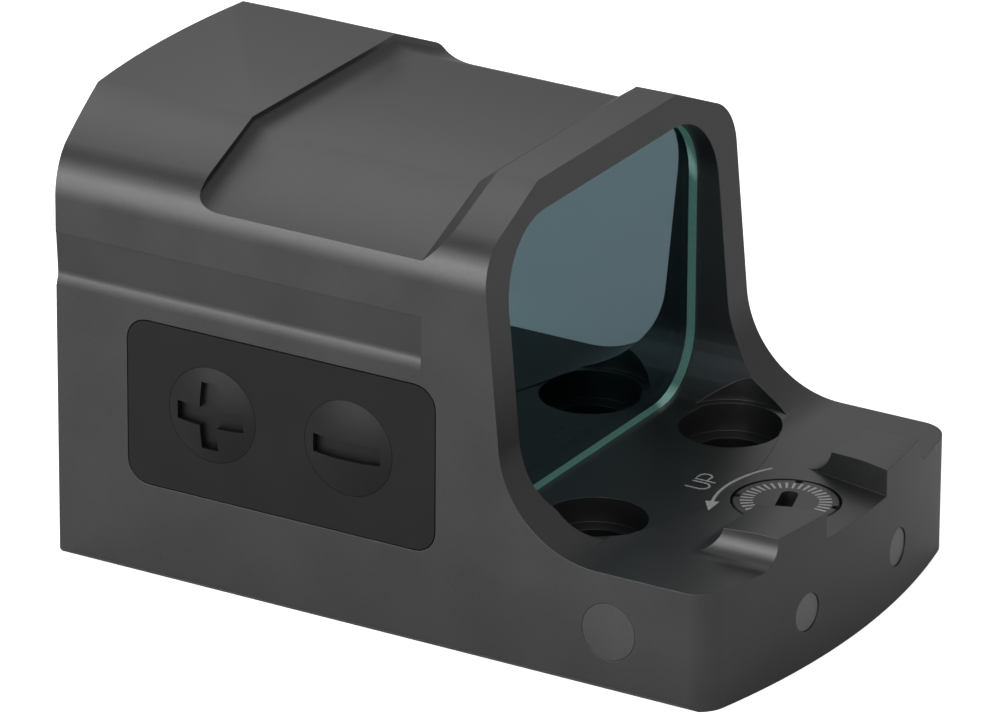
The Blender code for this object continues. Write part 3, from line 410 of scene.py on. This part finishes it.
dial_lo, dial_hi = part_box("elevation_dial")
dial_x, dial_y = (dial_lo.x + dial_hi.x) / 2, (dial_lo.y + dial_hi.y) / 2
deck_z = dial_hi.z - DIAL_PROUD
mark_piece("elevation_ticks", ticks(36, 8, inner=1.66, outer=2.32, thin=0.11, thick=0.15),
           Matrix.Translation((dial_x, dial_y, dial_hi.z)), "elevation_dial")
mark_piece("up_arrow", ARROW, Matrix.Translation((dial_x, dial_y, deck_z + ARROW_LIFT)), "housing",
           ARROW_THICKNESS)
mark_piece("up_letters", [strip(U_SHAPE, STROKE), strip(P_SHAPE, STROKE)],
           Matrix.Translation((dial_x, dial_y, deck_z + LETTER_LIFT)), "housing")

windage_lo, windage_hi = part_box("windage_dial")
windage_y, windage_z = (windage_lo.y + windage_hi.y) / 2, (windage_lo.z + windage_hi.z) / 2
on_right = Matrix(((0, 0, 1, windage_hi.x), (1, 0, 0, windage_y), (0, 1, 0, windage_z), (0, 0, 0, 1)))
mark_piece("windage_ticks", ticks(30, 6, inner=1.25, outer=1.75, thin=0.10, thick=0.13), on_right,
           "windage_dial")


# ---------------------------------------------------------------- floor, light and camera
FLOOR_TONE = 0.80
FLOOR_HALF = 3                  # half the side of the floor
FLOOR_GAP = 0.02 * MM           # between the part and the floor
WORLD_LIGHT = 0.40              # strength of the white surroundings as a source of light


def floor_material():
    """Pale floor: plain diffuse as a source of light. When seen, also through glass, it is white but for a
    soft shadow."""
    g = Graph("pale_floor")
    lit = g.node("BsdfDiffuse", Color=(FLOOR_TONE, FLOOR_TONE, FLOOR_TONE))
    path = g.node("LightPath")
    seen = g.math("MAXIMUM", path.outputs["Is Camera Ray"], path.outputs["Is Transmission Ray"])
    added = g.node("Emission", Strength=g.math("MULTIPLY", seen, FLOOR_TONE))
    return g.finish(g.node("AddShader", **{"0": lit.outputs[0], "1": added.outputs[0]}))


def white_world():
    """White surroundings: full strength when seen, also through glass, and softer as a source of light."""
    world = bpy.data.worlds.new("studio")
    world.use_nodes = True
    tree = world.node_tree
    path = tree.nodes.new("ShaderNodeLightPath")
    seen = tree.nodes.new("ShaderNodeMath")
    seen.operation = 'MAXIMUM'
    tree.links.new(path.outputs["Is Camera Ray"], seen.inputs[0])
    tree.links.new(path.outputs["Is Transmission Ray"], seen.inputs[1])
    strength = tree.nodes.new("ShaderNodeMapRange")
    tree.links.new(seen.outputs[0], strength.inputs["Value"])
    strength.inputs["To Min"].default_value = WORLD_LIGHT
    strength.inputs["To Max"].default_value = 1.0
    background = tree.nodes["Background"]
    background.inputs["Color"].default_value = (1.0, 1.0, 1.0, 1.0)
    tree.links.new(strength.outputs["Result"], background.inputs["Strength"])
    return world


floor_mesh = bpy.data.meshes.new("floor")
floor_mesh.from_pydata([(-FLOOR_HALF, -FLOOR_HALF, 0), (FLOOR_HALF, -FLOOR_HALF, 0),
                        (FLOOR_HALF, FLOOR_HALF, 0), (-FLOOR_HALF, FLOOR_HALF, 0)], [], [(0, 1, 2, 3)])
floor_mesh.materials.append(floor_material())
floor = bpy.data.objects.new("floor", floor_mesh)
floor.location.z = cad_box[0].z - FLOOR_GAP
scene.collection.objects.link(floor)

scene.world = white_world()

LAMP_DISTANCE = 0.50
LAMP_AIM = Vector((0.0, 0.0, 0.010))
# name: (direction from the object, the lamp's two sides, power in watts)
LAMPS = {
    "between": ((0.530, 0.470, 0.660), (0.30, 0.30), 0.23),
    "slope": ((0.268, 0.470, 0.842), (0.35, 0.35), 0.28),
    "shoulder": ((-0.70, 0.47, 0.55), (0.10, 0.30), 0.40),
    "left": ((-0.93, 0.25, 0.27), (0.50, 0.30), 1.60),
    "rear_left": ((-0.70, -0.45, 0.55), (0.40, 0.40), 0.45),
}


def lamp(name, towards, sides, power):
    """White rectangular area lamp that faces the object."""
    light = bpy.data.lights.new(name, 'AREA')
    light.shape = 'RECTANGLE'
    light.size, light.size_y = sides
    light.energy = power
    obj = bpy.data.objects.new(name, light)
    scene.collection.objects.link(obj)
    direction = Vector(towards).normalized()
    obj.location = LAMP_AIM + direction * LAMP_DISTANCE
    obj.rotation_euler = (-direction).to_track_quat('-Z', 'Y').to_euler()


for lamp_name, setting in LAMPS.items():
    lamp(lamp_name, *setting)

LENS_MM, SENSOR_MM = 324.0, 36.0
EYE = Vector((-0.362786, -0.214463, 0.186688))
AHEAD = Vector((0.793886, 0.470114, -0.385665)).normalized()
HEADING, ROLL = radians(59.37), radians(0.383)      # compass direction of AHEAD, and tilt of the picture

camera = bpy.data.cameras.new("camera")
camera.lens, camera.sensor_width = LENS_MM, SENSOR_MM
camera.clip_start, camera.clip_end = 0.05, 20.0
level = Vector((cos(HEADING), -sin(HEADING), 0.0))
upright = level.cross(AHEAD)
across = level * cos(ROLL) + upright * sin(ROLL)
upward = upright * cos(ROLL) - level * sin(ROLL)
view_from = bpy.data.objects.new("camera", camera)
scene.collection.objects.link(view_from)
view_from.matrix_world = Matrix(((across.x, upward.x, -AHEAD.x, EYE.x),
                                 (across.y, upward.y, -AHEAD.y, EYE.y),
                                 (across.z, upward.z, -AHEAD.z, EYE.z), (0, 0, 0, 1)))
scene.camera = view_from
scene.view_settings.view_transform = 'Standard'
